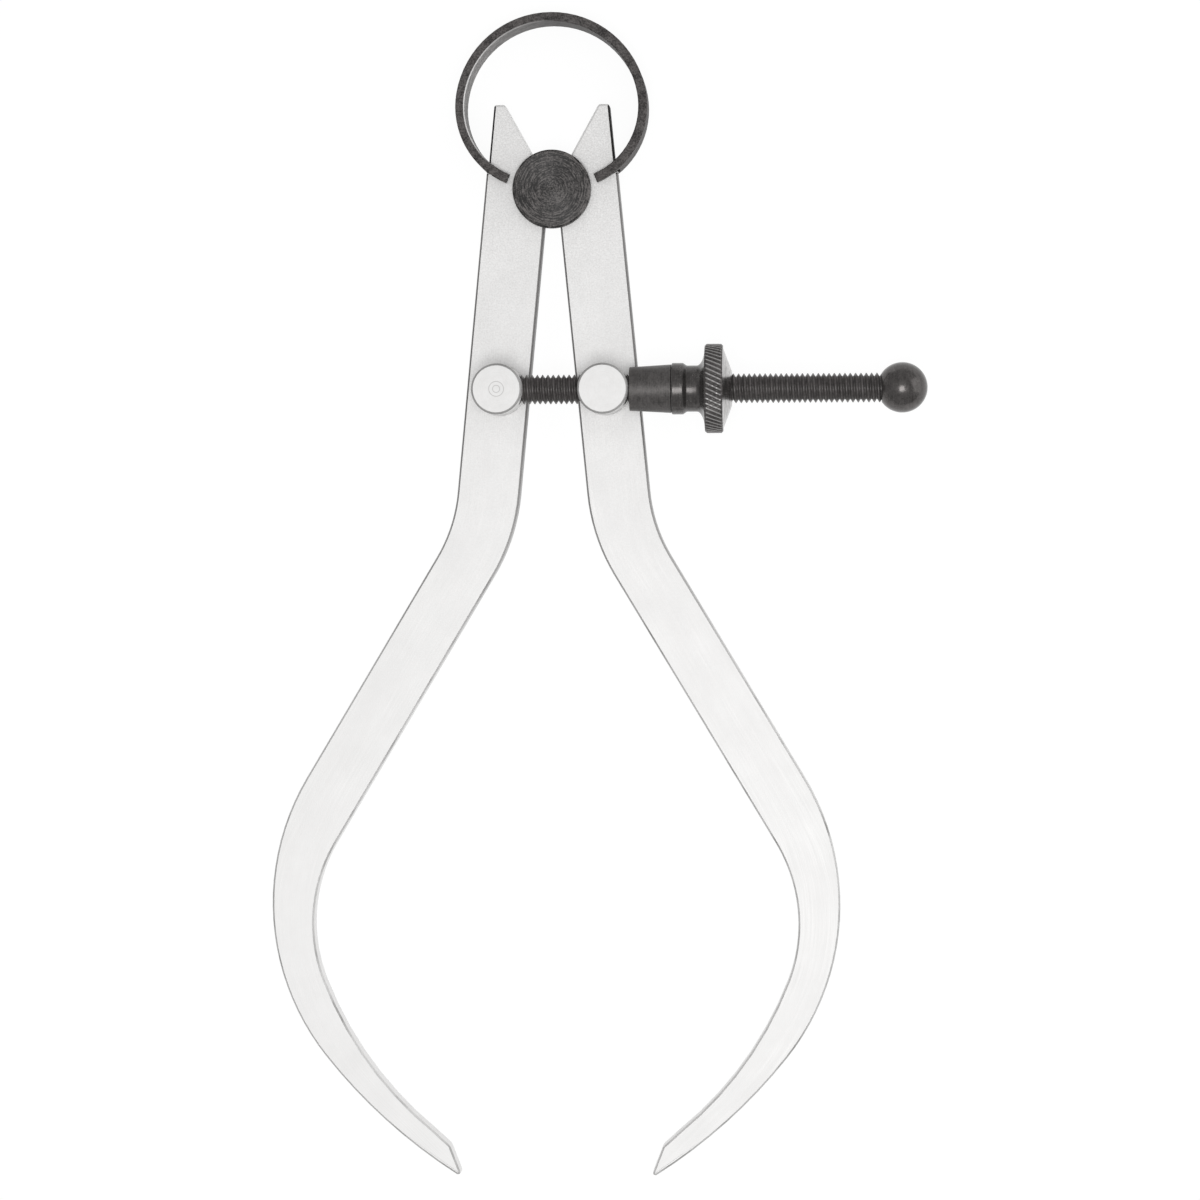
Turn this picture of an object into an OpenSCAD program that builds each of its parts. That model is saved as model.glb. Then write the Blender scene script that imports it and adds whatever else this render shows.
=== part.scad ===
// Outside spring caliper lying on its back, in millimetres.
// Z is the thickness direction, Y runs from the tips to the bow spring and X along the adjusting screw.
// The origin lies on the fulcrum axis, on the outer face of the back flange.
// The legs are drawn as they stand in the closed caliper and are then swung open about the fulcrum.

/* [Opening] */
// Angle that each leg stands open from the closed caliper, in degrees
leg_open = 5.5; // [2:0.5:20]

/* [Legs] */
// Thickness of the leg plates
leg_thickness = 3.2; // [2.6:0.1:4.2]
// Width of the straight upper legs
leg_width = 8.3; // [7.6:0.1:9.4]
// Half of the gap between the upper legs when closed
inner_gap = 0.6; // [0.4:0.1:1]
// Reach from the fulcrum axis down to the tips when closed
leg_reach = 132.2; // [124:0.2:160]
// Bend of the knee, in degrees
knee_angle = 25.4; // [22:0.2:30]
// Radius of the knee on its outer, hollow side
knee_outer_radius = 20.8; // [12:0.2:30]
// Radius of the knee on its inner, full side
knee_inner_radius = 26; // [18:0.5:36]
// Radius of the round elbow on its outer side
elbow_outer_radius = 32.9; // [29:0.1:37]
// Radius of the round elbow on its inner side
elbow_inner_radius = 21.2; // [18:0.1:25]
// Turn of the elbow on its outer side, in degrees
elbow_outer_turn = 69.3; // [64:0.1:75]
// Turn of the elbow on its inner side, in degrees
elbow_inner_turn = 52; // [47:0.5:58]
// Radius of the outer edge from the elbow to the tip
lower_outer_radius = 70.8; // [62:0.2:80]
// Radius of the inner edge from the elbow to the tip
lower_inner_radius = 48.8; // [43:0.2:56]
// Slope of the outer edge at the tip, in degrees from the straight leg
tip_outer_slope = 63; // [60:0.2:67]
// Slope of the inner edge at the tip, in degrees from the straight leg
tip_inner_slope = 60.4; // [57:0.2:64]
// Length of the slanted flank of the tip
tip_flank = 3.2; // [2:0.1:4]
// Slope of the tip's flank, in degrees from the straight leg
tip_flank_slope = 18; // [10:1:30]
// Radius of the tip's end
tip_round = 0.4; // [0.35:0.05:0.6]
// Distance from each tip to the middle when closed
tip_gap = 0.2; // [0.1:0.05:0.5]
// Height of the ears above the fulcrum axis
ear_height = 10.65; // [9:0.05:11.5]
// Width of the ears' flat tops
ear_top = 1.4; // [1:0.1:2.5]
// Step from the leg's outer edge in to the ear's, which makes the shoulder under the bow
ear_step = 0.2; // [0.15:0.05:0.4]
// Fall of the ears' tops towards their outer edge
ear_fall = 0.15; // [0:0.05:0.4]
// Height of the shoulder above the fulcrum axis, along the leg
shoulder_height = 1.5; // [1.2:0.1:1.8]

/* [Fulcrum] */
// Diameter of the roller that the legs turn on
roller_diameter = 5.5; // [4.5:0.1:6.5]
// Diameter of the front flange
flange_diameter = 10.4; // [9.5:0.1:11]
// Diameter of the back flange
back_diameter = 9.4; // [8.5:0.1:10.5]
// Thickness of each flange
flange_thickness = 1.4; // [1:0.1:2]
// Break of the flanges' rims
flange_break = 0.2; // [0.1:0.05:0.4]
// Diameter of the lathe centre mark in the front flange
centre_mark = 0.4; // [0.3:0.1:1]

/* [Bow spring] */
// Radius of the bow on the middle of its band
bow_radius = 12.2; // [11:0.1:14]
// Height of the bow's centre above the fulcrum axis
bow_rise = 10.6; // [9.5:0.1:12]
// Thickness of the spring band
band_thickness = 1.2; // [0.9:0.05:1.4]
// Width of the spring band
band_width = 6; // [5:0.1:6]
// Break of the band's edges
band_break = 0.15; // [0.05:0.05:0.25]
// Angle above level at which the band starts to turn in, in degrees
bow_turn = 10; // [0:1:20]
// Depth inside the leg's outer edge at which the band's middle passes the leg
band_inset = 0.6; // [0.4:0.1:1]
// Height above the fulcrum axis, along the leg, at which the band's middle passes it there
band_height = 1.9; // [1.6:0.1:2.6]
// Length of the forked ends that straddle the legs
prong_length = 2.6; // [1.8:0.1:2.8]

/* [Studs] */
// Diameter of the stud heads
stud_diameter = 6.7; // [6:0.1:7.5]
// Distance from the leg's inner edge to the stud axis
stud_inset = 3.8; // [3.6:0.1:4.4]
// Distance from the fulcrum axis down to the stud axis
stud_drop = 27.25; // [22:0.25:34]
// Diameter of the shank that turns in the leg
shank_diameter = 4; // [3:0.1:4.5]
// Diameter of the shank's spread end at the back of the leg
spread_diameter = 5; // [4.8:0.1:5.6]
// Height of the stud head above the screw's axis
stud_cap = 3.8; // [3.2:0.1:5]
// Break of the stud heads' rims
stud_break = 0.2; // [0.1:0.05:0.4]

/* [Adjusting screw] */
// Diameter over the screw's thread
screw_diameter = 3.9; // [3.4:0.1:4.2]
// Height of the screw's axis above the front of the legs
screw_lift = 3.6; // [3.6:0.1:5]
// Length of the screw from the left stud's axis to the ball
screw_length = 50.6; // [46:0.2:60]
// Length of the screw held in the left stud beyond its axis
screw_grip = 1.5; // [1:0.1:2]
// Diameter of the ball on the screw's free end
ball_diameter = 6.65; // [6:0.05:7]
// Distance from the ball's middle to its flat face
ball_flat = 2.7; // [2.2:0.1:2.8]
// Depth of the screw's seat in the ball
ball_seat = 3; // [2:0.1:4]

/* [Nut and bush] */
// Length of the tapered thrust bush
bush_length = 5.5; // [4:0.1:7]
// Diameter of the bush at the stud
bush_near = 5.75; // [5.3:0.05:6]
// Diameter of the bush at the nut
bush_far = 6.4; // [6:0.05:6.8]
// Length of the nut's collar
collar_length = 2; // [1.5:0.1:3]
// Diameter of the nut's collar
collar_diameter = 6.8; // [6.5:0.05:7]
// Break of the collar's edges
collar_break = 0.3; // [0.1:0.05:0.5]
// Length of the nut's neck
neck_length = 1.3; // [0.8:0.1:2]
// Diameter of the nut's neck
neck_diameter = 6.1; // [5.6:0.1:6.3]
// Length of the hollow flare from the neck to the wheel
flare_length = 1.1; // [0.8:0.1:1.6]
// Diameter of the knurled wheel
wheel_diameter = 11.8; // [10:0.1:12.4]
// Width of the knurled wheel
wheel_width = 2.4; // [1.8:0.1:3.5]
// Break of the wheel's rim
wheel_break = 0.25; // [0.1:0.05:0.4]
// Length of the shallow cone on the wheel's outer side
cone_length = 1.15; // [0.8:0.05:1.8]
// Diameter at which the cone starts on the wheel's face
cone_start = 10.7; // [9:0.1:11]
// Diameter of the cone's small end
cone_end = 4.6; // [4.5:0.1:5.5]

/* [Fits] */
// Gap between the legs and each flange
flange_clear = 0.05; // [0.03:0.01:0.1]
// Gap between the roller and its seats in the legs
seat_clear = 0.05; // [0.02:0.01:0.1]
// Gap on each side of a leg between the prongs of the bow
fork_clear = 0.08; // [0.05:0.01:0.15]
// Gap between the end of the band's slot and the ear's outer edge
seat_gap = 0.5; // [0.45:0.05:0.7]
// Gap round the shanks and under the heads of the studs
swivel_clear = 0.05; // [0.02:0.01:0.08]
// Gap round a screw end in its seat
grip_clear = 0.02; // [0.01:0.01:0.05]
// Gap round the screw in the right stud, the bush and the nut
slide_clear = 0.1; // [0.05:0.01:0.15]
// Gap between the stud, the bush and the nut along the screw
thrust_clear = 0.06; // [0.03:0.01:0.1]

/* [Hidden] */

// Steps along the knee, the elbow, the lower leg and each side of the tip's round
knee_steps = 9;
elbow_steps = 22;
lower_steps = 8;
tip_steps = 3;
// Longest step along the bow spring's arcs, in degrees
bow_step = 5;
// Facets of the true rounds
round_fn = 96;
// Length by which cutting shapes run past what they cut
overcut = 1;

// Heights
leg_back = flange_thickness + flange_clear;
leg_front = leg_back + leg_thickness;
spool_height = leg_front + flange_clear + flange_thickness;
plate_middle = spool_height / 2;
screw_height = leg_front + screw_lift;
stud_top = screw_height + stud_cap;

// List in the opposite order
function turned_round(list) = [for (i = [len(list) - 1:-1:0]) list[i]];

// Turns a point of the closed right leg to its open place
function swung(p) = [
  p.x * cos(leg_open) - p.y * sin(leg_open),
  p.x * sin(leg_open) + p.y * cos(leg_open)
];

// Places along the screw
stud_place = swung([inner_gap + stud_inset, -stud_drop]);
screw_y = stud_place.y;
screw_start = -stud_place.x - screw_grip;
screw_end = -stud_place.x + screw_length;
bush_start = stud_place.x + stud_diameter / 2 + thrust_clear;
nut_start = bush_start + bush_length + thrust_clear;
screw_hole = screw_diameter + 2 * slide_clear;
grip_hole = screw_diameter + 2 * grip_clear;

// Straight lengths before and after the knee that bring an edge to its end point.
// An edge runs straight down, bends out at the knee, runs straight, then turns in by two arcs.
function straight_runs(from_x, end, knee_r, elbow_r, lower_r, turn, slope) =
  let(
    below = knee_angle - turn,
    across = knee_r * (1 - cos(knee_angle))
      + elbow_r * (cos(below) - cos(knee_angle))
      + lower_r * (cos(slope) - cos(below)),
    down = knee_r * sin(knee_angle)
      + elbow_r * (sin(knee_angle) - sin(below))
      + lower_r * (sin(below) + sin(slope)),
    shin = (end.x - from_x - across) / sin(knee_angle)
  )
  [-end.y - down - shin * cos(knee_angle), shin];

// Points of an arc that starts at a point and swings its heading, in degrees from straight down
function swing(from, radius, head_a, head_b, steps) =
  let(
    side = head_b > head_a ? 1 : -1,
    centre = from + side * radius * [cos(head_a), sin(head_a)]
  )
  [for (i = [1:steps])
    let(head = head_a + (head_b - head_a) * i / steps)
    centre - side * radius * [cos(head), sin(head)]
  ];

// One whole edge of the leg, from the fulcrum's level down to the tip
function leg_edge(from_x, end, knee_r, elbow_r, lower_r, turn, slope) =
  let(
    runs = straight_runs(from_x, end, knee_r, elbow_r, lower_r, turn, slope),
    below = knee_angle - turn,
    knee_start = [from_x, -runs[0]],
    knee = swing(knee_start, knee_r, 0, knee_angle, knee_steps),
    knee_end = knee[len(knee) - 1],
    elbow_start = knee_end + runs[1] * [sin(knee_angle), -cos(knee_angle)],
    elbow = swing(elbow_start, elbow_r, knee_angle, below, elbow_steps),
    lower = swing(elbow[len(elbow) - 1], lower_r, below, -slope, lower_steps)
  )
  concat([knee_start], knee, [elbow_start], elbow, lower);

// Tip of the leg: a slanted flank and a small round end
tip_centre = [tip_gap + tip_round, tip_round - leg_reach];
flank_low = tip_centre + tip_round * [-cos(tip_flank_slope), sin(tip_flank_slope)];
flank_high = flank_low + tip_flank * [sin(tip_flank_slope), cos(tip_flank_slope)];
outer_end = tip_centre + tip_round * [cos(tip_outer_slope), -sin(tip_outer_slope)];
flank_turn = 90 - tip_flank_slope;
tip_turn = 90 - tip_outer_slope;
function tip_point(turn) = tip_centre + tip_round * [sin(turn), -cos(turn)];

// Outline of the right leg in the closed caliper: up its outer side from the tip, then down its inner one
outer_x = inner_gap + leg_width;
ear_x = outer_x - ear_step;
outer_edge = leg_edge(
  outer_x, outer_end, knee_outer_radius, elbow_outer_radius, lower_outer_radius,
  elbow_outer_turn, tip_outer_slope
);
inner_edge = leg_edge(
  inner_gap, flank_high, knee_inner_radius, elbow_inner_radius, lower_inner_radius,
  elbow_inner_turn, tip_inner_slope
);
ear_slope = (ear_x - ear_top) / ear_height;
leg_outline = concat(
  [for (i = [0:tip_steps - 1]) tip_point(tip_turn * i / tip_steps)],
  turned_round(outer_edge),
  [[outer_x, shoulder_height], [ear_x, shoulder_height], [ear_x, ear_height - ear_fall]],
  [[ear_x - ear_top, ear_height], [inner_gap, inner_gap / ear_slope]],
  inner_edge,
  [for (i = [0:tip_steps - 1]) tip_point(-flank_turn * (1 - i / tip_steps))]
);

// Unit vector that points into an anticlockwise outline from the side a to b
function inward(a, b) = [a.y - b.y, b.x - a.x] / norm(b - a);

// Outline moved inward by a distance, with its corners kept sharp
function inset(points, distance) =
  let(n = len(points))
  [for (i = [0:n - 1])
    let(
      before = inward(points[(i + n - 1) % n], points[i]),
      after = inward(points[i], points[(i + 1) % n])
    )
    points[i] + distance * (before + after) / (1 + before * after)
  ];

// Plate between two lines of paired points, with the edges of both faces broken.
// The first line runs up the right side of the plate and the second up its left side.
module broken_plate(right, left, thickness, edge) {
  m = len(right);
  n = 2 * m;
  outline = concat(right, turned_round(left));
  small = inset(outline, edge);
  layers = concat(
    [for (p = small) [p.x, p.y, 0]],
    [for (p = outline) [p.x, p.y, edge]],
    [for (p = outline) [p.x, p.y, thickness - edge]],
    [for (p = small) [p.x, p.y, thickness]]
  );
  walls = [for (k = [0:2], i = [0:n - 1])
    [k * n + i, (k + 1) * n + i, (k + 1) * n + (i + 1) % n, k * n + (i + 1) % n]
  ];
  back = [for (i = [0:m - 2]) [i, i + 1, n - 2 - i, n - 1 - i]];
  front = [for (f = back) [for (i = turned_round(f)) 3 * n + i]];
  polyhedron(layers, concat(walls, back, front));
}

// Bow spring: the middle of its band passes the leg just above the shoulder
bow_seat = swung([outer_x - band_inset, band_height]);
seat_from_bow = bow_seat - [0, bow_rise];
turn_way = [cos(bow_turn), sin(bow_turn)];
end_radius = pow(norm(seat_from_bow - bow_radius * turn_way), 2)
  / (2 * (bow_radius - seat_from_bow * turn_way));
end_centre = [0, bow_rise] + (bow_radius - end_radius) * turn_way;
seat_arm = bow_seat - end_centre;
seat_angle = atan2(seat_arm.y, seat_arm.x);
prong_angle = prong_length / end_radius * 180 / PI;
slot_width = leg_thickness + 2 * fork_clear;

// Middle of the band on the right side, moved out by a distance, from the top to the end of the prong
function bow_side(out) =
  let(
    steps = ceil((90 - bow_turn) / bow_step),
    low = seat_angle - prong_angle,
    end_steps = ceil((bow_turn - low) / bow_step)
  )
  concat(
    [for (i = [0:steps])
      let(a = 90 - (90 - bow_turn) * i / steps)
      [0, bow_rise] + (bow_radius + out) * [cos(a), sin(a)]],
    [for (i = [1:end_steps])
      let(a = bow_turn - (bow_turn - low) * i / end_steps)
      end_centre + (end_radius + out) * [cos(a), sin(a)]]
  );

// The same line over the whole bow, from the left prong over the top to the right one
function bow_line(out) =
  let(side = bow_side(out))
  concat([for (i = [len(side) - 1:-1:1]) [-side[i].x, side[i].y]], side);

// Right leg in its open place: plate, roller seat and stud hole
module leg_plate() {
  hole = shank_diameter + 2 * swivel_clear;
  spread = spread_diameter + 2 * swivel_clear;
  difference() {
    translate([0, 0, leg_back])
      rotate(leg_open)
        linear_extrude(leg_thickness)
          polygon(leg_outline);
    translate([0, 0, leg_back - overcut])
      cylinder(d = roller_diameter + 2 * seat_clear, h = leg_thickness + 2 * overcut, $fn = round_fn);
    translate([stud_place.x, stud_place.y, leg_back - overcut])
      cylinder(d = hole, h = leg_thickness + 2 * overcut, $fn = round_fn);
    translate([stud_place.x, stud_place.y, leg_back])
      cylinder(d1 = spread, d2 = hole, h = (spread - hole) / 2, $fn = round_fn);
  }
}

module left_leg() {
  color("gainsboro")
    mirror([1, 0, 0])
      leg_plate();
}

module right_leg() {
  color("gainsboro")
    leg_plate();
}

// Turned spool that holds the two legs together
module fulcrum_roller() {
  rim = flange_diameter / 2;
  back = back_diameter / 2;
  core = roller_diameter / 2;
  dip = centre_mark / 2;
  color("dimgray")
    rotate_extrude($fn = round_fn)
      polygon([
        [0, 0], [back - flange_break, 0], [back, flange_break], [back, flange_thickness],
        [core, flange_thickness], [core, spool_height - flange_thickness],
        [rim, spool_height - flange_thickness], [rim, spool_height - flange_break],
        [rim - flange_break, spool_height], [dip, spool_height], [0, spool_height - dip]
      ]);
}

// Slot between the prongs at the right end of the bow, which stops a little outside the ear
module bow_slot() {
  slot_room = band_thickness + overcut;
  intersection() {
    translate([end_centre.x, end_centre.y, plate_middle])
      rotate(seat_angle - 2 * prong_angle)
        rotate_extrude(angle = 4 * prong_angle, $fn = round_fn)
          translate([end_radius - slot_room / 2, -slot_width / 2])
            square([slot_room, slot_width]);
    rotate(leg_open)
      translate([0, -leg_width, 0])
        cube([ear_x + seat_gap, 2 * leg_width, spool_height]);
  }
}

module bow_spring() {
  color("dimgray")
    difference() {
      translate([0, 0, plate_middle - band_width / 2])
        broken_plate(
          turned_round(bow_line(band_thickness / 2)),
          turned_round(bow_line(-band_thickness / 2)),
          band_width, band_break
        );
      bow_slot();
      mirror([1, 0, 0])
        bow_slot();
    }
}

// Stud about its own axis, standing on the front of a leg, with its shank spread at the back
module stud_blank() {
  head = stud_diameter / 2;
  shank = shank_diameter / 2;
  spread = spread_diameter / 2;
  seat = leg_front + swivel_clear;
  rotate_extrude($fn = round_fn)
    polygon([
      [0, leg_back], [spread, leg_back], [shank, leg_back + spread - shank], [shank, seat],
      [head, seat], [head, stud_top - stud_break], [head - stud_break, stud_top], [0, stud_top]
    ]);
}

// Round bar along the screw's line between two places
module along_screw(from, to, diameter) {
  translate([from, screw_y, screw_height])
    rotate([0, 90, 0])
      cylinder(d = diameter, h = to - from, $fn = round_fn);
}

module left_stud() {
  color("silver")
    difference() {
      translate([-stud_place.x, screw_y, 0])
        stud_blank();
      along_screw(screw_start - grip_clear, 0, grip_hole);
    }
}

module right_stud() {
  color("silver")
    difference() {
      translate([stud_place.x, screw_y, 0])
        stud_blank();
      along_screw(stud_place.x - stud_diameter, stud_place.x + stud_diameter, screw_hole);
    }
}

module adjusting_screw() {
  color("dimgray")
    along_screw(screw_start, screw_end + ball_seat - grip_clear, screw_diameter);
}

// Ball with a flat face towards the nut and a blind seat for the screw
module ball_end() {
  color("dimgray")
    translate([screw_end, screw_y, screw_height])
      rotate([0, 90, 0])
        rotate_extrude($fn = round_fn)
          difference() {
            translate([0, ball_flat])
              circle(d = ball_diameter, $fn = round_fn);
            translate([-ball_diameter, -ball_diameter])
              square([ball_diameter, 3 * ball_diameter]);
            translate([0, -ball_diameter])
              square(ball_diameter);
            translate([0, -overcut])
              square([grip_hole / 2, ball_seat + overcut]);
          }
}

// Turned piece on the screw from a profile of places along the screw and radii
module turned_on_screw(start, profile) {
  bore = screw_hole / 2;
  last = profile[len(profile) - 1].y;
  translate([start, screw_y, screw_height])
    rotate([0, 90, 0])
      rotate_extrude($fn = round_fn)
        polygon(concat([[bore, 0]], profile, [[bore, last]]));
}

module thrust_bush() {
  color("dimgray")
    turned_on_screw(bush_start, [[bush_near / 2, 0], [bush_far / 2, bush_length]]);
}

// Nut: collar, neck, hollow flare, wheel and a shallow cone
module adjusting_nut() {
  collar = collar_diameter / 2;
  neck = neck_diameter / 2;
  rim = wheel_diameter / 2;
  neck_end = collar_length + neck_length;
  wheel_start = neck_end + flare_length;
  wheel_end = wheel_start + wheel_width;
  flare_steps = 6;
  flare_rise = rim - wheel_break - neck;
  flare = [for (i = [0:flare_steps])
    let(a = 90 * i / flare_steps)
    [neck + flare_rise * (1 - cos(a)), neck_end + flare_length * sin(a)]
  ];
  color("dimgray")
    turned_on_screw(nut_start, concat(
      [[collar - collar_break, 0], [collar, collar_break], [collar, collar_length - collar_break],
       [collar - collar_break, collar_length], [neck, collar_length]],
      flare,
      [[rim, wheel_start + wheel_break], [rim, wheel_end - wheel_break], [rim - wheel_break, wheel_end],
       [min(cone_start / 2, rim - 2 * wheel_break), wheel_end], [cone_end / 2, wheel_end + cone_length]]
    ));
}

left_leg();
right_leg();
fulcrum_roller();
bow_spring();
left_stud();
right_stud();
adjusting_screw();
ball_end();
thrust_bush();
adjusting_nut();
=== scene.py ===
import math

import bmesh
import bpy
from mathutils import Euler, Matrix, Vector


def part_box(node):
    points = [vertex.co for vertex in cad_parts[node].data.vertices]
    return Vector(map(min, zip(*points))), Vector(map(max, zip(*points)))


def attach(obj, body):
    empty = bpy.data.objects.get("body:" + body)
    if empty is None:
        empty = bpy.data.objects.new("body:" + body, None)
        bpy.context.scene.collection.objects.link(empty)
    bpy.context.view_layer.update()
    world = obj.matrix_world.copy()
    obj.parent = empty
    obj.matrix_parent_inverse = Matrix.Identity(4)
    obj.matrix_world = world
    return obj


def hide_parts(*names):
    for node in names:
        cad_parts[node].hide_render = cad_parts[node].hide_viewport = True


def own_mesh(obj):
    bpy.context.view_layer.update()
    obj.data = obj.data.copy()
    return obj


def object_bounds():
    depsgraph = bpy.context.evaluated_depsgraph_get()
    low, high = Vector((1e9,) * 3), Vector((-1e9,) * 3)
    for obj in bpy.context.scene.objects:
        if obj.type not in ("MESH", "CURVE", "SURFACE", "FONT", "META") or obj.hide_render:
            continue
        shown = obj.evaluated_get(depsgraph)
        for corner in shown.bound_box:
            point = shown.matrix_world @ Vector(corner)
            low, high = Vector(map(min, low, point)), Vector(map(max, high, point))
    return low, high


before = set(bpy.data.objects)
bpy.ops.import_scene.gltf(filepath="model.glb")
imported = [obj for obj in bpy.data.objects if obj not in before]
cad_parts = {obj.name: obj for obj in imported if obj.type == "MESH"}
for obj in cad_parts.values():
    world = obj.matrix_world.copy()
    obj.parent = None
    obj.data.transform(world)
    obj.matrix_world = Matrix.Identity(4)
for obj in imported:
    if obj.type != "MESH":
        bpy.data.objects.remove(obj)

mm = 0.001
scene = bpy.context.scene
scene.view_settings.view_transform = "Standard"
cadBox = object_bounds()
print("frame loaded, nodes:", len(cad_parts))


# meshes

def middle(node):
    low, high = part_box(node)
    return (Vector(low) + Vector(high)) / 2


def addPiece(name, bm, place, materials, body, node, sharpAngle=32):
    flatFrom = 0.9999
    bmesh.ops.recalc_face_normals(bm, faces=bm.faces)
    mesh = bpy.data.meshes.new(name)
    bm.to_mesh(mesh)
    bm.free()
    for material in materials:
        mesh.materials.append(material)
    mesh.shade_smooth()
    mesh.set_sharp_from_angle(angle=math.radians(sharpAngle))
    for face in mesh.polygons:
        face.use_smooth = abs(face.normal.z) < flatFrom  # flat fronts and backs stay flat
    piece = bpy.data.objects.new(name, mesh)
    piece.matrix_world = place
    scene.collection.objects.link(piece)
    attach(piece, body)
    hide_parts(node)
    print("piece", name, "faces", len(mesh.polygons))
    return piece


def copyNode(node, place):
    # the solid's own faces, joined up again and seen from the piece's own origin
    joinGap = 0.002 * mm
    flatAngle = math.radians(0.4)
    bm = bmesh.new()
    bm.from_mesh(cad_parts[node].data)
    bmesh.ops.remove_doubles(bm, verts=bm.verts, dist=joinGap)
    bmesh.ops.dissolve_limit(bm, angle_limit=flatAngle, verts=bm.verts, edges=bm.edges)
    bm.transform(place.inverted())
    return bm


def breakEdges(bm, width, steps, sharpest=35):
    sharp = [e for e in bm.edges if e.calc_face_angle(0) > math.radians(sharpest)]
    bmesh.ops.bevel(bm, geom=sharp, offset=width, offset_type="OFFSET", segments=steps,
                    profile=0.5, affect="EDGES", clamp_overlap=False)


def lathe(rings, turns):
    # rings of (along, radius, wave) about local z, where wave moves each point in or out
    bm = bmesh.new()
    rows = []
    for along, radius, wave in rings:
        row = []
        for i in range(turns):
            angle = 2 * math.pi * i / turns
            r = radius + (wave(angle, along) if wave else 0)
            row.append(bm.verts.new((r * math.cos(angle), r * math.sin(angle), along)))
        rows.append(row)
    for a, b in zip(rows, rows[1:]):
        for i in range(turns):
            j = (i + 1) % turns
            bm.faces.new((a[i], a[j], b[j], b[i]))
    bm.faces.new(rows[0])
    bm.faces.new(rows[-1])
    return bm


def plain(profile):
    return [(along, radius, None) for along, radius in profile]


def rounded(profile, radius, steps=3):
    # corners of a profile of (along, radius) as small curves, with guard points that keep the flats flat
    sideShare = 0.3  # of a short side, at most
    guard = 1.4
    out = [profile[0]]
    for before, corner, after in zip(profile, profile[1:], profile[2:]):
        here = Vector(corner)
        back, onward = Vector(before) - here, Vector(after) - here
        reach = min(radius, back.length * sideShare, onward.length * sideShare)
        back, onward = back.normalized() * reach, onward.normalized() * reach
        out.append(tuple(here + back * guard))
        for i in range(steps + 1):
            t = i / steps
            out.append(tuple(here + (1 - t) ** 2 * back + t * t * onward))
        out.append(tuple(here + onward * guard))
    return out + [profile[-1]]


def alongScrew(start):
    # local z runs along the screw, towards the ball
    axis = middle("adjusting_screw")
    turn = Matrix(((0, 0, 1), (1, 0, 0), (0, 1, 0))).to_4x4()
    return Matrix.Translation((start, axis.y, axis.z)) @ turn


# shader building

def makeNode(tree, kind, settings=None, **inputs):
    node = tree.nodes.new("ShaderNode" + kind)
    for key, value in (settings or {}).items():
        setattr(node, key, value)
    for key, value in inputs.items():
        socket = node.inputs[int(key[1:])] if key[0] == "i" and key[1:].isdigit() else node.inputs[key]
        if hasattr(value, "is_output"):
            tree.links.new(value, socket)
        else:
            socket.default_value = value
    return node


def math2(tree, operation, a, b=0.0):
    return makeNode(tree, "Math", {"operation": operation}, i0=a, i1=b).outputs[0]


def spread(tree, value, fromLow, fromHigh, toLow, toHigh):
    node = makeNode(tree, "MapRange", None, i0=value, i1=fromLow, i2=fromHigh, i3=toLow, i4=toHigh)
    return node.outputs[0]


def blendColor(tree, factor, a, b):
    node = makeNode(tree, "Mix", {"data_type": "RGBA"})
    for socket, value in ((node.inputs[0], factor), (node.inputs[6], a), (node.inputs[7], b)):
        if hasattr(value, "is_output"):
            tree.links.new(value, socket)
        else:
            socket.default_value = value
    return node.outputs[2]


def newGroup(name, inputs, outputs):
    group = bpy.data.node_groups.new(name, "ShaderNodeTree")
    for label, kind, value in inputs:
        socket = group.interface.new_socket(label, in_out="INPUT", socket_type="NodeSocket" + kind)
        if value is not None:
            socket.default_value = value
    for label in outputs:
        group.interface.new_socket(label, in_out="OUTPUT", socket_type="NodeSocketFloat")
    return group, group.nodes.new("NodeGroupInput").outputs, group.nodes.new("NodeGroupOutput").inputs


def useGroup(tree, group, **inputs):
    node = tree.nodes.new("ShaderNodeGroup")
    node.node_tree = group
    for key, value in inputs.items():
        if hasattr(value, "is_output"):
            tree.links.new(value, node.inputs[key])
        else:
            node.inputs[key].default_value = value
    return node.outputs


def newMaterial(name, metallic, specular=0.5):
    material = bpy.data.materials.new(name)
    material.use_nodes = True
    tree = material.node_tree
    shader = tree.nodes["Principled BSDF"]
    shader.inputs["Metallic"].default_value = metallic
    shader.inputs["Specular IOR Level"].default_value = specular
    place = makeNode(tree, "TexCoord").outputs["Object"]
    return material, tree, shader, place


def splitUp(tree, vector):
    return makeNode(tree, "SeparateXYZ", None, Vector=vector).outputs


def trueNormal(tree):
    return splitUp(tree, makeNode(tree, "NewGeometry").outputs["True Normal"])


def mixed(tree, a, aShare, b, bShare):
    return math2(tree, "ADD", math2(tree, "MULTIPLY", a, aShare), math2(tree, "MULTIPLY", b, bShare))


def facing(tree, low, high):
    # how far a point faces front or back rather than sideways
    return spread(tree, math2(tree, "ABSOLUTE", trueNormal(tree)["Z"]), low, high, 0.0, 1.0)


# limits of facing() from a side wall to its broken edge, and from that edge to the flat front
wallToEdge = (0.1, 0.35)
edgeToFront = (0.93, 0.99)


def bumpInto(tree, shader, height, distance, strength):
    bump = makeNode(tree, "Bump", None, Height=height, Distance=distance, Strength=strength)
    tree.links.new(bump.outputs["Normal"], shader.inputs["Normal"])


def grainGroup():
    # even fine grain plus slow cloudy tone, for every metal here
    group, given, out = newGroup("metalGrain", [("Place", "Vector", None), ("Grain", "Float", 4000.0),
                                                ("Cloud", "Float", 250.0)], ["Grain", "Cloud"])
    for label in ("Grain", "Cloud"):
        noise = makeNode(group, "TexNoise", None, Vector=given["Place"], Scale=given[label], Detail=3.0,
                         Roughness=0.6)
        group.links.new(noise.outputs["Fac"], out[label])
    return group


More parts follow.
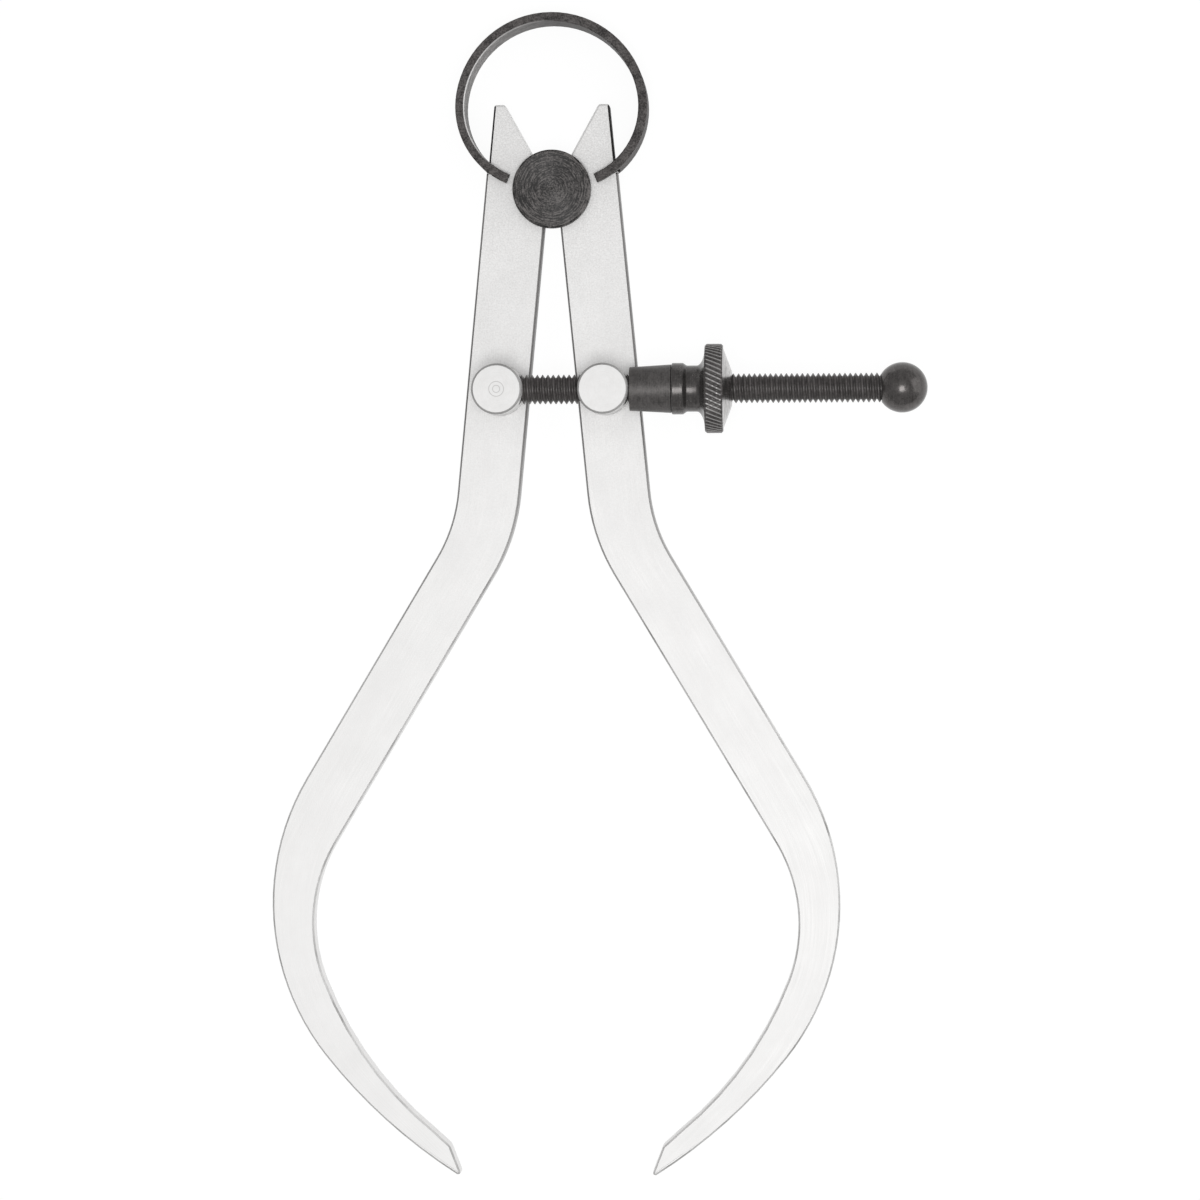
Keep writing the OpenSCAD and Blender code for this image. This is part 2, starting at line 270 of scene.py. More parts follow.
def turnedGroup():
    # tool marks of a lathe about local z, on ends and round sides: even rings under short broken arcs
    layers = {"rings": (1.0, 0.2, 0.4), "arcs": (1.3, 4.0, 0.6)}  # fineness, change round the turn, share
    group, given, out = newGroup("latheMarks", [("Place", "Vector", None), ("Pitch", "Float", 6000.0)],
                                 ["Marks", "Radius"])
    split = splitUp(group, given["Place"])
    flatPlace = makeNode(group, "CombineXYZ", None, X=split["X"], Y=split["Y"]).outputs[0]
    radius = makeNode(group, "VectorMath", {"operation": "LENGTH"}, i0=flatPlace).outputs["Value"]
    around = makeNode(group, "VectorMath", {"operation": "NORMALIZE"}, i0=flatPlace).outputs[0]
    turn = splitUp(group, around)
    across = math2(group, "MULTIPLY", math2(group, "ADD", radius, split["Z"]), given["Pitch"])
    marks = 0.0
    for fineness, wander, strength in layers.values():
        path = makeNode(group, "CombineXYZ", None, X=math2(group, "MULTIPLY", across, fineness),
                        Y=math2(group, "MULTIPLY", turn["X"], wander),
                        Z=math2(group, "MULTIPLY", turn["Y"], wander)).outputs[0]
        noise = makeNode(group, "TexNoise", None, Vector=path, Scale=1.0, Detail=3.0, Roughness=0.7)
        marks = math2(group, "ADD", math2(group, "MULTIPLY", noise.outputs["Fac"], strength), marks)
    group.links.new(marks, out["Marks"])
    group.links.new(radius, out["Radius"])
    return group


metalGrain = grainGroup()
latheMarks = turnedGroup()
print("shared shader groups ready")


# legs: flat steel, ground lengthwise, with broken edges, and sides and edges painted darker upwards as painted
# shade

legLook = {
    "edgeBreak": 0.25 * mm,
    "breakSteps": 2,
    "faceColor": (0.70, 0.695, 0.69, 1),
    "paleColor": (0.92, 0.915, 0.91, 1),
    # painted shade and painted light: side and edge colours, dark towards the top of the legs and light
    # towards the bottom
    "upperWallShade": (0.33, 0.323, 0.32, 1),
    "lowerWallLight": (0.82, 0.815, 0.81, 1),
    "upperEdgeShade": (0.27, 0.263, 0.26, 1),
    "lowerEdgeLight": (0.70, 0.695, 0.69, 1),
    "patchyEdgeShade": (0.30, 0.295, 0.29, 1),
    "fade": (0.45, 0.72),
    # painted shade on the ears' outward sides and painted light on their inner sides
    "earOuterShade": (0.05, 0.048, 0.047, 1),
    "earInnerLight": (0.92, 0.915, 0.91, 1),
    "earFrom": 2.0 * mm,
    "earOutward": 0.3,
    "tipTrim": (0.75 * mm, 0.25 * mm),
    "tipLength": 6.0 * mm,
    "lineScale": 9000.0,
    "lineStretch": 0.012,
    "lineShare": 0.6,
    "legsApart": 0.001,
    "grainScale": 5200.0,
    "cloudScale": 160.0,
    "cloudShare": 0.18,
    "toneRange": (0.3, 0.7),
    "rough": (0.56, 0.68),
    "grainRise": 3.0,
    "grainShare": 1.1,
    "toneLift": 0.174,
    # painted shade: how much darker the tone is painted at the ears
    "earPaintedShade": 0.144,
    "edgePatchRange": (0.5, 0.7),
    "edgePatchShare": 0.7,
    "grainBump": 0.5,
    "bumpDepth": 0.012 * mm,
    "bumpStrength": 0.22,
    "levels": 24,
}


def legMidline(node):
    # how far the leg's middle stands from x = 0, at even steps along y
    inset = 0.004  # share of the span left off at each end
    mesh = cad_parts[node].data
    low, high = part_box(node)
    points = [(v.co.x, v.co.y) for v in mesh.vertices]
    edges = [[points[i] for i in e.vertices] for e in mesh.edges]
    line = []
    for k in range(legLook["levels"] + 1):
        y = low[1] + (high[1] - low[1]) * (inset + (1 - 2 * inset) * k / legLook["levels"])
        cuts = []
        for (ax, ay), (bx, by) in edges:
            if (ay - y) * (by - y) < 0:
                cuts.append(abs(ax + (bx - ax) * (y - ay) / (by - ay)))
        line.append((min(cuts) + max(cuts)) / 2)
    return line


def legSteel():
    material, tree, shader, place = newMaterial("legSteel", 1.0)
    low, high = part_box("right_leg")
    widest = max(abs(low[0]), abs(high[0]))
    split = splitUp(tree, place)
    share = spread(tree, split["Y"], low[1], high[1], 0.0, 1.0)
    curve = makeNode(tree, "FloatCurve", None, Value=share)
    points = curve.mapping.curves[0].points
    line = legMidline("right_leg")
    for k, x in enumerate(line):
        spot = (k / legLook["levels"], x / widest)
        if k in (0, len(line) - 1):
            points[0 if k == 0 else -1].location = spot
        else:
            points.new(*spot)
    curve.mapping.update()
    bend = math2(tree, "MULTIPLY", curve.outputs[0], widest)
    across = math2(tree, "SUBTRACT", math2(tree, "ABSOLUTE", split["X"]), bend)
    alongLeg = math2(tree, "MULTIPLY", split["Y"], legLook["lineStretch"])
    apart = math2(tree, "MULTIPLY", split["X"], legLook["legsApart"])  # the two legs differ a little
    flow = makeNode(tree, "CombineXYZ", None, X=across, Y=alongLeg, Z=apart).outputs[0]
    lines = makeNode(tree, "TexNoise", None, Vector=flow, Scale=legLook["lineScale"], Detail=3.0,
                     Roughness=0.65).outputs["Fac"]
    grain = useGroup(tree, metalGrain, Place=place, Grain=legLook["grainScale"], Cloud=legLook["cloudScale"])
    tone = mixed(tree, lines, legLook["lineShare"], grain["Cloud"], legLook["cloudShare"])
    # the grain shows more towards the ears, and painted shade makes the tone a little darker there
    halfway = 0.5  # middle of the noise
    rise = math2(tree, "POWER", share, legLook["grainRise"])
    speck = math2(tree, "SUBTRACT", grain["Grain"], halfway)
    speck = math2(tree, "MULTIPLY", speck, legLook["grainShare"])
    tone = math2(tree, "ADD", tone, math2(tree, "MULTIPLY", speck, rise))
    tone = math2(tree, "ADD", tone, spread(tree, rise, 0.0, 1.0, legLook["toneLift"],
                                           legLook["toneLift"] - legLook["earPaintedShade"]))
    tone = spread(tree, tone, *legLook["toneRange"], 0.0, 1.0)
    face = blendColor(tree, tone, legLook["faceColor"], legLook["paleColor"])
    # the ears' outward sides are painted near black as painted shade, their inner sides pale as painted light
    outward = math2(tree, "MULTIPLY", trueNormal(tree)["X"], math2(tree, "SIGN", split["X"]))
    outward = math2(tree, "GREATER_THAN", outward, legLook["earOutward"])
    earSideShading = blendColor(tree, outward, legLook["earInnerLight"], legLook["earOuterShade"])
    onEar = math2(tree, "GREATER_THAN", split["Y"], legLook["earFrom"])
    # painted shade on the upper sides and edges, painted light on the lower ones, with a thin uneven painted
    # shade line along the edges
    fade = spread(tree, share, *legLook["fade"], 0.0, 1.0)
    wall = blendColor(tree, fade, legLook["lowerWallLight"], legLook["upperWallShade"])
    edge = blendColor(tree, fade, legLook["lowerEdgeLight"], legLook["upperEdgeShade"])
    # the painted shade line along the edges is darker still in cloudy patches
    edgePatches = spread(tree, grain["Cloud"], *legLook["edgePatchRange"], 0.0, legLook["edgePatchShare"])
    edge = blendColor(tree, edgePatches, edge, legLook["patchyEdgeShade"])
    sides = blendColor(tree, facing(tree, *wallToEdge), wall, edge)
    sides = blendColor(tree, onEar, sides, earSideShading)
    tree.links.new(blendColor(tree, facing(tree, *edgeToFront), sides, face), shader.inputs["Base Color"])
    rough = spread(tree, lines, *legLook["toneRange"], *legLook["rough"])
    tree.links.new(rough, shader.inputs["Roughness"])
    height = math2(tree, "ADD", lines, math2(tree, "MULTIPLY", grain["Grain"], legLook["grainBump"]))
    bumpInto(tree, shader, height, legLook["bumpDepth"], legLook["bumpStrength"])
    return material


def slantTip(bm):
    # the flank of the tip leans back further than the solid's: its inner corner moves, its point stays
    away, up = legLook["tipTrim"]
    slack, shortest = 0.01 * mm, 2 * mm
    low = min(v.co.y for v in bm.verts)
    tip = [v for v in bm.verts if v.co.y < low + legLook["tipLength"]]
    inmost = min(abs(v.co.x) for v in tip)
    for v in [v for v in tip if abs(v.co.x) < inmost + slack]:
        for other in [e.other_vert(v) for e in v.link_edges]:
            if other.co.y - v.co.y > shortest:
                other.co.x += math.copysign(away, other.co.x)
                other.co.y += up


legMaterial = legSteel()
for side in ("left", "right"):
    leg = side + "_leg"
    bm = copyNode(leg, Matrix.Identity(4))
    slantTip(bm)
    breakEdges(bm, legLook["edgeBreak"], legLook["breakSteps"])
    addPiece(side + "LegPlate", bm, Matrix.Identity(4), [legMaterial], leg, leg, sharpAngle=15)
print("legs done")


# black oxide finish of the spring, the fulcrum, the screw and what turns on it

oxideLook = {
    "specular": 0.5,
    "grainScale": 4600.0,
    "cloudScale": 900.0,
    "grainShare": 0.6,
    "cloudShare": 0.4,
    "markShare": 0.45,
    "toneRange": (0.38, 0.62),
    "roughRange": (0.35, 0.65),
    "crestBrightDepths": (0.07 * mm, 0.01 * mm),
    "bumpDepth": 0.02 * mm,
    "bumpStrength": 0.6,
}


def blackOxide(name, look, crest=None):
    # dull where it is untouched, and like dark bare metal where hands and the nut have worn it; bright knurl
    # crests are partly real wear and partly painted highlight, and the bow's inside carries painted light
    specular = look.get("specular", oxideLook["specular"])
    material, tree, shader, place = newMaterial(name, look["metal"], specular)
    grain = useGroup(tree, metalGrain, Place=place, Grain=oxideLook["grainScale"],
                     Cloud=oxideLook["cloudScale"])
    tone = mixed(tree, grain["Grain"], oxideLook["grainShare"], grain["Cloud"], oxideLook["cloudShare"])
    height = math2(tree, "MULTIPLY", grain["Grain"], look["grainBump"])
    if "markBump" in look:
        lathed = useGroup(tree, latheMarks, Place=place, Pitch=look["markPitch"])
        markShare = look.get("markShare", oxideLook["markShare"])
        tone = mixed(tree, tone, 1 - markShare, lathed["Marks"], markShare)
        height = math2(tree, "ADD", height, math2(tree, "MULTIPLY", lathed["Marks"], look["markBump"]))
    if "turnedSheen" in look:
        # sheen drawn out across the tool marks
        quarterTurn = 0.25
        shader.inputs["Anisotropic"].default_value = look["turnedSheen"]
        shader.inputs["Anisotropic Rotation"].default_value = quarterTurn
        around = makeNode(tree, "Tangent", {"direction_type": "RADIAL", "axis": "Z"}).outputs[0]
        tree.links.new(around, shader.inputs["Tangent"])
    share = spread(tree, tone, *look.get("toneRange", oxideLook["toneRange"]), 0.0, 1.0)
    color = blendColor(tree, share, look["dark"], look["pale"])
    rough = spread(tree, tone, *oxideLook["roughRange"], *look["rough"])
    # knurl crests painted bright: partly real wear, partly painted highlight
    if crest:
        start, end = (crest - depth for depth in oxideLook["crestBrightDepths"])
        brightened = spread(tree, lathed["Radius"], start, end, 0.0, 1.0)
        color = blendColor(tree, brightened, color, look["crestWearAndHighlight"])
    if "insideLight" in look:
        color = paintedInsideLight(tree, shader, place, grain["Cloud"], color, look["insideLight"])
    tree.links.new(color, shader.inputs["Base Color"])
    tree.links.new(rough, shader.inputs["Roughness"])
    bumpInto(tree, shader, height, oxideLook["bumpDepth"], oxideLook["bumpStrength"])
    return material


def paintedInsideLight(tree, shader, place, cloud, color, insideLight):
    # painted light: the inside wall of a bow is painted lighter towards the left as painted reflection, and
    # its broken edge there is painted bright as a painted highlight
    flat = facing(tree, 0.0, 1.0)
    split = splitUp(tree, place)
    outward = math2(tree, "MULTIPLY", trueNormal(tree)["X"], split["X"])
    inside = math2(tree, "LESS_THAN", outward, 0.0)
    inside = math2(tree, "MULTIPLY", inside, spread(tree, split["X"], *insideLight["fadeLeft"], 0.0, 1.0))
    inside = math2(tree, "MULTIPLY", inside, spread(tree, split["Y"], *insideLight["fadeUp"], 0.0, 1.0))
    # painted reflection on the inside wall, in patches
    wallSheen = math2(tree, "MULTIPLY", inside, spread(tree, flat, *insideLight["wallLimits"], 1.0, 0.0))
    patchy = spread(tree, cloud, *insideLight["patches"], insideLight["leastSheen"], 1.0)
    color = blendColor(tree, math2(tree, "MULTIPLY", wallSheen, patchy), color, insideLight["wallSheen"])
    # painted highlight on the broken inside edge
    away = math2(tree, "ABSOLUTE", math2(tree, "SUBTRACT", flat, insideLight["edgeLean"]))
    brightened = math2(tree, "MULTIPLY", spread(tree, away, *insideLight["edgeLimits"], 1.0, 0.0), inside)
    tree.links.new(math2(tree, "MULTIPLY", brightened, insideLight["edgeMetal"]), shader.inputs["Metallic"])
    return blendColor(tree, brightened, color, insideLight["edge"])


# fulcrum: one turned spool with a centre mark

fulcrumLook = {
    "flange": 1.4 * mm,
    "roller": 5.5 * mm,
    "rimBreak": 0.2 * mm,
    "backRim": 9.4 * mm,
    "centreMark": 0.3 * mm,
    "corner": 0.07 * mm,
    "turns": 128,
    "finish": {"metal": 0.0, "specular": 0.4,
               "dark": (0.009, 0.0083, 0.008, 1), "pale": (0.154, 0.142, 0.138, 1),
               "rough": (0.34, 0.48), "toneRange": (0.475, 0.562), "grainBump": 0.4, "markBump": 3.0,
               "markPitch": 5600.0, "markShare": 0.6, "turnedSheen": 0.8},
}


def fulcrumSpool():
    low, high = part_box("fulcrum_roller")
    rim = (high[0] - low[0]) / 2
    top = high[2]
    core = fulcrumLook["roller"] / 2
    flange = fulcrumLook["flange"]
    chamfer = fulcrumLook["rimBreak"]
    dip = fulcrumLook["centreMark"] / 2
    back = fulcrumLook["backRim"] / 2
    pinch = 0.01 * mm  # radius where the ends close
    profile = [(0, pinch), (0, back - chamfer), (chamfer, back), (flange, back), (flange, core),
               (top - flange, core), (top - flange, rim), (top - chamfer, rim), (top, rim - chamfer),
               (top, dip), (top - dip, pinch)]
    bm = lathe(plain(rounded(profile, fulcrumLook["corner"])), fulcrumLook["turns"])
    oxide = blackOxide("fulcrumOxide", fulcrumLook["finish"])
    addPiece("fulcrumSpool", bm, Matrix.Identity(4), [oxide], "fulcrum", "fulcrum_roller")


fulcrumSpool()


# bow spring: a flat band bent to a bow, forked over the legs

bowLook = {
    "closeUp": 0.95,
    "finish": {"metal": 0.0, "specular": 0.12,
               "dark": (0.032, 0.0295, 0.029, 1), "pale": (0.142, 0.132, 0.129, 1),
               "rough": (0.46, 0.60), "toneRange": (0.41, 0.60), "grainBump": 0.5,
               # painted light on the bow's inside: a lighter wall as painted reflection, a bright broken edge
               # as painted highlight
               "insideLight": {"edge": (0.80, 0.79, 0.785, 1), "edgeMetal": 0.9, "edgeLean": 0.7,
                        "edgeLimits": (0.05, 0.2), "wallSheen": (0.38, 0.37, 0.365, 1), "leastSheen": 0.35,
                        "patches": (0.35, 0.65), "wallLimits": (0.2, 0.5),
                        "fadeLeft": (1.0 * mm, -9.0 * mm), "fadeUp": (3.0 * mm, 6.0 * mm)}},
}


def bowBand():
    place = Matrix.Identity(4)
    bm = copyNode("bow_spring", place)
    oxide = blackOxide("bowOxide", bowLook["finish"])
    piece = addPiece("bowBand", bm, place, [oxide], "bow", "bow_spring", sharpAngle=20)
    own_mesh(piece)


bowBand()
print("fulcrum and bow done")


# studs: bright turned heads that swivel in the legs

studLook = {
    "edgeBreak": 0.07 * mm,
    "faceColor": (0.67, 0.665, 0.66, 1),
    "paleColor": (0.84, 0.835, 0.83, 1),
    "wallColor": (0.78, 0.775, 0.77, 1),
    # painted shade: a darker line on the studs' broken edges
    "edgeShadeLine": (0.46, 0.455, 0.45, 1),
    # painted shade in the ring grooves
    "ringGrooveShade": (0.36, 0.352, 0.346, 1),
    "ringShare": 0.8,
    "rings": (0.47 * mm, 0.97 * mm),
    "ringWidth": 0.06 * mm,
    "markPitch": 7000.0,
    "markShare": 0.45,
    "grainScale": 5200.0,
    "cloudScale": 500.0,
    "cloudShare": 0.55,
    "toneRange": (0.35, 0.65),
    "roughRange": (0.3, 0.7),
    "rough": (0.54, 0.64),
    "markBump": 0.5,
    "bumpDepth": 0.015 * mm,
    "bumpStrength": 0.4,
}


def studSteel(name, ringed):
    material, tree, shader, place = newMaterial(name, 1.0)
    lathed = useGroup(tree, latheMarks, Place=place, Pitch=studLook["markPitch"])
    grain = useGroup(tree, metalGrain, Place=place, Grain=studLook["grainScale"], Cloud=studLook["cloudScale"])
    tone = mixed(tree, lathed["Marks"], studLook["markShare"], grain["Cloud"], studLook["cloudShare"])
    share = spread(tree, tone, *studLook["toneRange"], 0.0, 1.0)
    color = blendColor(tree, share, studLook["faceColor"], studLook["paleColor"])
    height = math2(tree, "MULTIPLY", lathed["Marks"], studLook["markBump"])
    if ringed:
        # each ring is a groove in the bump, painted dark as painted shade
        for ring in studLook["rings"]:
            away = math2(tree, "ABSOLUTE", math2(tree, "SUBTRACT", lathed["Radius"], ring))
            onRing = spread(tree, away, 0.0, studLook["ringWidth"], 1.0, 0.0)
            grooveShade = math2(tree, "MULTIPLY", onRing, studLook["ringShare"])
            color = blendColor(tree, grooveShade, color, studLook["ringGrooveShade"])
            height = math2(tree, "SUBTRACT", height, onRing)
    # painted shade: the broken edges are painted darker than the face, as an outline
    sides = blendColor(tree, facing(tree, *wallToEdge), studLook["wallColor"], studLook["edgeShadeLine"])
    color = blendColor(tree, facing(tree, *edgeToFront), sides, color)
    tree.links.new(color, shader.inputs["Base Color"])
    rough = spread(tree, tone, *studLook["roughRange"], *studLook["rough"])
    tree.links.new(rough, shader.inputs["Roughness"])
    bumpInto(tree, shader, height, studLook["bumpDepth"], studLook["bumpStrength"])
    return material


for side, body, ringed in (("left", "screw", True), ("right", "right_swivel", False)):
    node = side + "_stud"
    centre = middle(node)
    place = Matrix.Translation((centre.x, centre.y, 0))
    bm = copyNode(node, place)
    breakEdges(bm, studLook["edgeBreak"], steps=1)
    steel = studSteel(side + "StudSteel", ringed)
    addPiece(side + "StudHead", bm, place, [steel], body, node, sharpAngle=15)
print("studs done")


# adjusting screw: a rod with a right-hand thread

screwLook = {
    "pitch": 0.7 * mm,
    "depth": 0.43 * mm,
    "turns": 48,
    "toothShares": ((0.0, 0), (0.1, 0), (0.5, 1), (0.6, 1)),
    "finish": {"metal": 0.35, "dark": (0.070, 0.065, 0.063, 1), "pale": (0.165, 0.154, 0.151, 1),
               "rough": (0.32, 0.46), "grainBump": 0.5},
}


def threadedRod():
    low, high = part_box("adjusting_screw")
    length = high[0] - low[0]
    crest = (high[2] - low[2]) / 2
    pitch, turns = screwLook["pitch"], screwLook["turns"]
    joinGap = 0.0005 * mm  # the ends are cut square, where points fall together
    threads = range(-1, math.ceil(length / pitch) + 1)
    marks = [(k, share, full) for k in threads for share, full in screwLook["toothShares"]]
    bm = bmesh.new()
    grid = []
    for k, share, full in marks:
        row = []
        for j in range(turns):
            angle = 2 * math.pi * j / turns
            along = min(max(pitch * (k + share + j / turns), 0), length)
            r = crest - screwLook["depth"] * (1 - full)
            row.append(bm.verts.new((r * math.cos(angle), r * math.sin(angle), along)))
        grid.append(row)
    step = len(screwLook["toothShares"])
    for a in range(len(grid) - 1):
        for j in range(turns):
            if j + 1 < turns:
                corners = (grid[a][j], grid[a][j + 1], grid[a + 1][j + 1], grid[a + 1][j])
            elif a + 1 + step < len(grid):
                corners = (grid[a][j], grid[a + step][0], grid[a + 1 + step][0], grid[a + 1][j])
            else:
                continue
            bm.faces.new(corners)
    bmesh.ops.remove_doubles(bm, verts=bm.verts, dist=joinGap)
    bmesh.ops.dissolve_degenerate(bm, edges=bm.edges, dist=joinGap)
    oxide = blackOxide("threadOxide", screwLook["finish"])
    addPiece("threadedRod", bm, alongScrew(low[0]), [oxide], "screw", "adjusting_screw",
             sharpAngle=50)


threadedRod()


# ball on the screw's free end

ballLook = {
    "flat": 2.7 * mm,
    "turns": 96,
    "steps": 40,
    "finish": {"metal": 0.7, "dark": (0.060, 0.056, 0.054, 1), "pale": (0.140, 0.131, 0.128, 1),
               "rough": (0.16, 0.28), "grainBump": 0.4, "markBump": 0.3, "markPitch": 4000.0},
}


def ballEnd():
    low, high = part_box("ball_end")
    r = (high[2] - low[2]) / 2
    start = math.acos(ballLook["flat"] / r)
    end = math.pi - 0.01  # just short of the pole, where the ball closes
    profile = [(0, math.sin(start) * r / 2)]
    for i in range(ballLook["steps"] + 1):
        a = start + (end - start) * i / ballLook["steps"]
        profile.append((ballLook["flat"] - r * math.cos(a), r * math.sin(a)))
    bm = lathe(plain(profile), ballLook["turns"])
    oxide = blackOxide("ballOxide", ballLook["finish"])
    addPiece("ballEnd", bm, alongScrew(low[0]), [oxide], "screw", "ball_end")


ballEnd()
print("screw and ball done")


# tapered bush between the right stud and the nut

bushLook = {
    "near": 5.75 * mm,
    "far": 6.4 * mm,
    "bore": 4.1 * mm,
    "corner": 0.06 * mm,
    "turns": 128,
    "finish": {"metal": 0.5, "dark": (0.050, 0.047, 0.045, 1), "pale": (0.145, 0.136, 0.133, 1),
               "rough": (0.36, 0.50), "grainBump": 0.6, "markBump": 0.4, "markPitch": 4000.0},
}


def thrustBush():
    low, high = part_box("thrust_bush")
    length = high[0] - low[0]
    bore = bushLook["bore"] / 2
    profile = [(0, bore), (0, bushLook["near"] / 2), (length, bushLook["far"] / 2), (length, bore)]
    bm = lathe(plain(rounded(profile, bushLook["corner"])), bushLook["turns"])
    oxide = blackOxide("bushOxide", bushLook["finish"])
    addPiece("thrustBush", bm, alongScrew(low[0]), [oxide], "right_swivel", "thrust_bush")


thrustBush()


# nut: collar, neck, flare, knurled wheel and a polished shallow cone

nutLook = {
    "collar": (2.0 * mm, 6.8 * mm, 0.12 * mm, 0.5 * mm),  # length, diameter, edge break, slope to the neck
    "neck": (1.3 * mm, 6.1 * mm),  # length, diameter
    "flare": 1.1 * mm,
    "flareSteps": 10,
    "wheel": (2.4 * mm, 0.25 * mm),  # width, edge break
    "cone": (10.7 * mm, 4.6 * mm),  # diameters at its start and end
    "bore": 4.1 * mm,
    "frontCorner": 0.08 * mm,
    "backCorner": 0.05 * mm,
    "knurlLines": 54,
    "knurlDepth": 0.16 * mm,
    "knurlSlope": 26,
    "pointsPerLine": 8,
    "knurlRings": 14,
    "finish": {"metal": 0.6, "dark": (0.045, 0.042, 0.041, 1), "pale": (0.13, 0.122, 0.119, 1),
               # bright knurl crests: partly real wear, partly painted highlight
               "crestWearAndHighlight": (0.42, 0.41, 0.405, 1),
               "rough": (0.18, 0.30), "grainBump": 0.5, "markBump": 0.3, "markPitch": 4000.0},
    "coneFinish": {"metal": 1.0, "dark": (0.30, 0.292, 0.288, 1), "pale": (0.60, 0.59, 0.585, 1),
                   "rough": (0.16, 0.26), "toneRange": (0.41, 0.59), "grainBump": 0.1, "markBump": 0.4,
                   "markPitch": 3600.0, "markShare": 0.8},
}


def adjustingNut():
    low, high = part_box("adjusting_nut")
    length = high[0] - low[0]
    rim = (high[2] - low[2]) / 2
    collarLength, collar, collarBreak, collarSlope = nutLook["collar"]
    neckLength, neck = nutLook["neck"]
    wheelWidth, wheelBreak = nutLook["wheel"]
    collar, neck = collar / 2, neck / 2
    neckEnd = collarLength + neckLength
    wheelStart = neckEnd + nutLook["flare"]
    wheelEnd = wheelStart + wheelWidth
    bore = nutLook["bore"] / 2
    front = [(0, bore), (0, collar - collarBreak), (collarBreak, collar),
             (collarLength - collarSlope, collar), (collarLength, neck), (neckEnd, neck)]
    rings = plain(rounded(front, nutLook["frontCorner"]))
    rise = rim - wheelBreak - neck
    for i in range(1, nutLook["flareSteps"] + 1):
        a = math.pi / 2 * i / nutLook["flareSteps"]
        rings.append((neckEnd + nutLook["flare"] * math.sin(a), neck + rise * (1 - math.cos(a)), None))
    twist = math.tan(math.radians(nutLook["knurlSlope"])) / rim

    def knurl(angle, along):
        phase = (angle - twist * (along - wheelStart)) * nutLook["knurlLines"] / (2 * math.pi)
        return -nutLook["knurlDepth"] * abs(2 * (phase % 1) - 1)

    first, last = wheelStart + wheelBreak, wheelEnd - wheelBreak
    for i in range(nutLook["knurlRings"] + 1):
        rings.append((first + (last - first) * i / nutLook["knurlRings"], rim, knurl))
    coneStart, coneEnd = (diameter / 2 for diameter in nutLook["cone"])
    back = [(wheelEnd, rim - wheelBreak), (wheelEnd, coneStart), (length, coneEnd), (length, bore)]
    rings += plain(rounded(back, nutLook["backCorner"]))
    bm = lathe(rings, nutLook["knurlLines"] * nutLook["pointsPerLine"])
    slack = 0.02 * mm
    for face in bm.faces:
        if face.calc_center_median().z > wheelEnd - slack:
            face.material_index = 1
    finishes = [blackOxide("nutOxide", nutLook["finish"], rim),
                blackOxide("nutConeSteel", nutLook["coneFinish"])]
    addPiece("adjustingNut", bm, alongScrew(low[0]), finishes, "nut", "adjusting_nut",
             sharpAngle=24)


adjustingNut()
print("bush and nut done")


# floor, light and camera

stageLook = {
    "floorColor": (0.90, 0.90, 0.90, 1),
    "floorSize": 1.5,
    "floorGap": 0.02 * mm,
    "floorGlow": 0.87,
    "glowStrength": 1.06,
    "worldLow": 0.46,
    "worldHigh": 0.80,
    "worldRise": (0.80, 0.97),
    "keyPlace": (0.02, -0.12, 0.62),
    "keySize": 0.24,
    "keyWatts": 1.0,
    "sidePlace": (0.60, 0.05, 0.16),
    "sideSize": 0.60,
    "sideWatts": 1.1,
    "aim": (0, -0.05, 0),
}


def backgroundRays(tree):
    rays = makeNode(tree, "LightPath").outputs
    seen = math2(tree, "MAXIMUM", rays["Is Camera Ray"], rays["Is Glossy Ray"])
    return math2(tree, "MAXIMUM", seen, rays["Is Transmission Ray"])


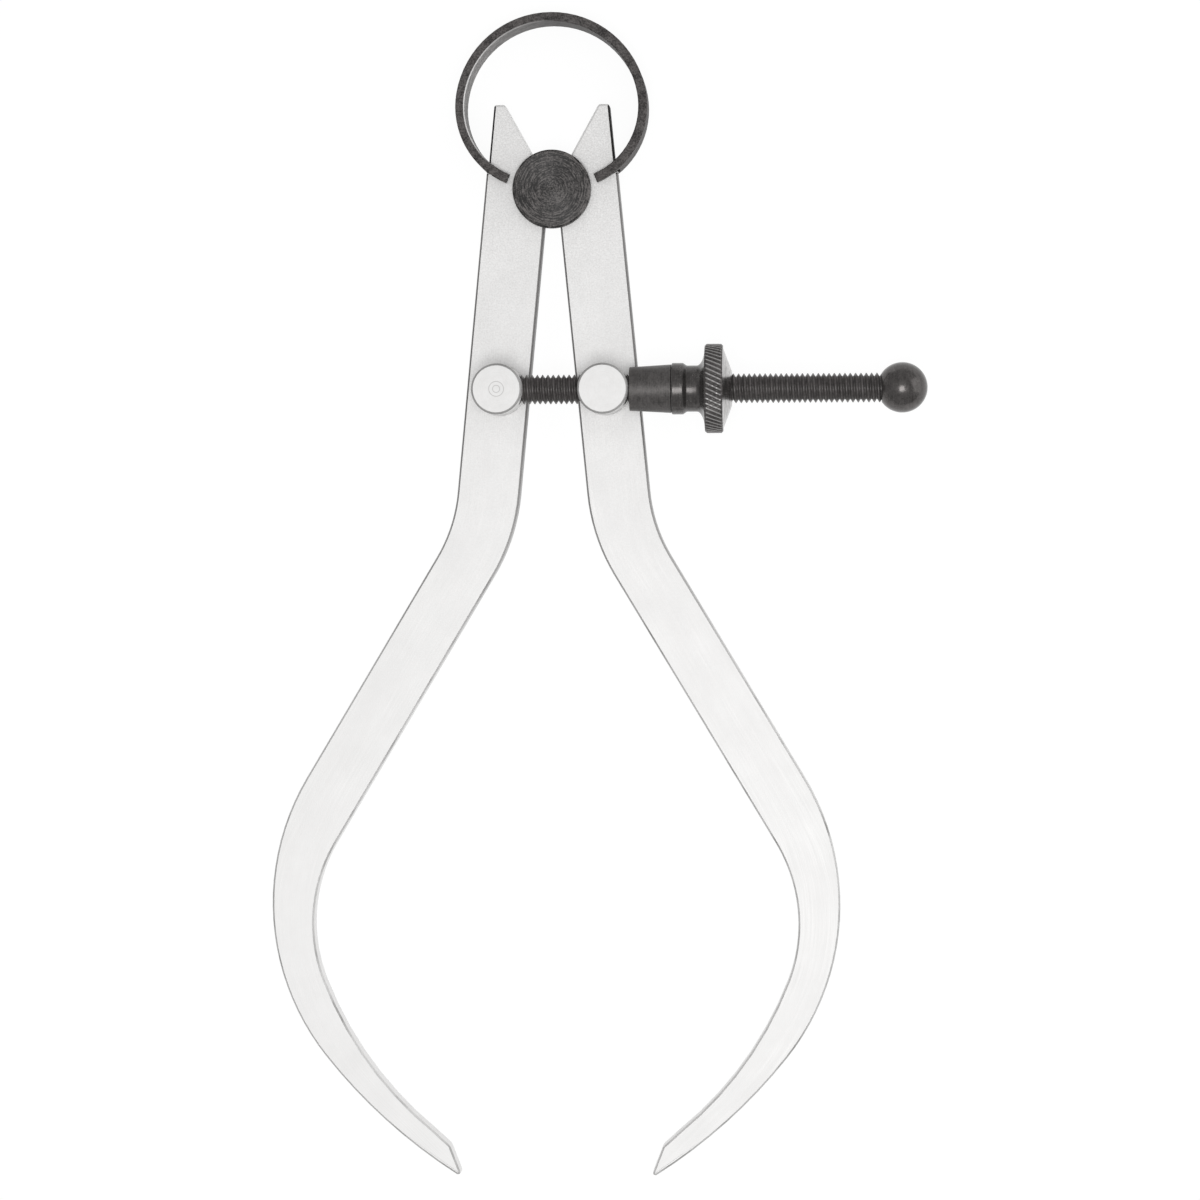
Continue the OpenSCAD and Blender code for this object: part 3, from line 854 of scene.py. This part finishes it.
def paleFloor():
    bm = bmesh.new()
    bmesh.ops.create_grid(bm, x_segments=1, y_segments=1, size=stageLook["floorSize"])
    mesh = bpy.data.meshes.new("paleFloor")
    bm.to_mesh(mesh)
    bm.free()
    floor = bpy.data.objects.new("paleFloor", mesh)
    floor.location.z = cadBox[0][2] - stageLook["floorGap"]
    scene.collection.objects.link(floor)
    material = bpy.data.materials.new("paleFloor")
    material.use_nodes = True
    tree = material.node_tree
    tree.nodes.remove(tree.nodes["Principled BSDF"])
    matte = makeNode(tree, "BsdfDiffuse", None, Color=stageLook["floorColor"])
    glow = makeNode(tree, "Emission", None, Color=(1, 1, 1, 1), Strength=stageLook["glowStrength"])
    share = math2(tree, "MULTIPLY", backgroundRays(tree), stageLook["floorGlow"])
    both = makeNode(tree, "MixShader", None, i0=share, i1=matte.outputs[0], i2=glow.outputs[0])
    tree.links.new(both.outputs[0], tree.nodes["Material Output"].inputs["Surface"])
    mesh.materials.append(material)


def studioWorld():
    world = bpy.data.worlds.new("studio")
    scene.world = world
    world.use_nodes = True
    tree = world.node_tree
    up = splitUp(tree, makeNode(tree, "TexCoord").outputs["Generated"])["Z"]
    level = spread(tree, up, *stageLook["worldRise"], stageLook["worldLow"], stageLook["worldHigh"])
    tree.links.new(level, tree.nodes["Background"].inputs["Strength"])
    tree.nodes["Background"].inputs["Color"].default_value = (1, 1, 1, 1)


def softLamp(name):
    lamp = bpy.data.lights.new(name + "Lamp", "AREA")
    lamp.size = stageLook[name + "Size"]
    lamp.energy = stageLook[name + "Watts"]
    holder = bpy.data.objects.new(name + "Lamp", lamp)
    place = Vector(stageLook[name + "Place"])
    holder.location = place
    holder.rotation_euler = (Vector(stageLook["aim"]) - place).to_track_quat("-Z", "Y").to_euler()
    scene.collection.objects.link(holder)


cameraLook = {
    "place": (35.81 * mm, -44.24 * mm, 528.87 * mm),
    "turn": (-1.149, 3.233, -0.243),
    "focalPixels": 3941.7,
    "framePixels": 1200,
    "sensor": 36,
    "clip": (0.01, 20),
}


def photoCamera():
    data = bpy.data.cameras.new("photoCamera")
    data.sensor_width = cameraLook["sensor"]
    data.lens = cameraLook["sensor"] * cameraLook["focalPixels"] / cameraLook["framePixels"]
    data.clip_start, data.clip_end = cameraLook["clip"]
    camera = bpy.data.objects.new("photoCamera", data)
    camera.location = cameraLook["place"]
    camera.rotation_euler = Euler([math.radians(a) for a in cameraLook["turn"]], "XYZ")
    scene.collection.objects.link(camera)
    scene.camera = camera


paleFloor()
studioWorld()
softLamp("key")
softLamp("side")
photoCamera()

print("stage, lamps and camera done")
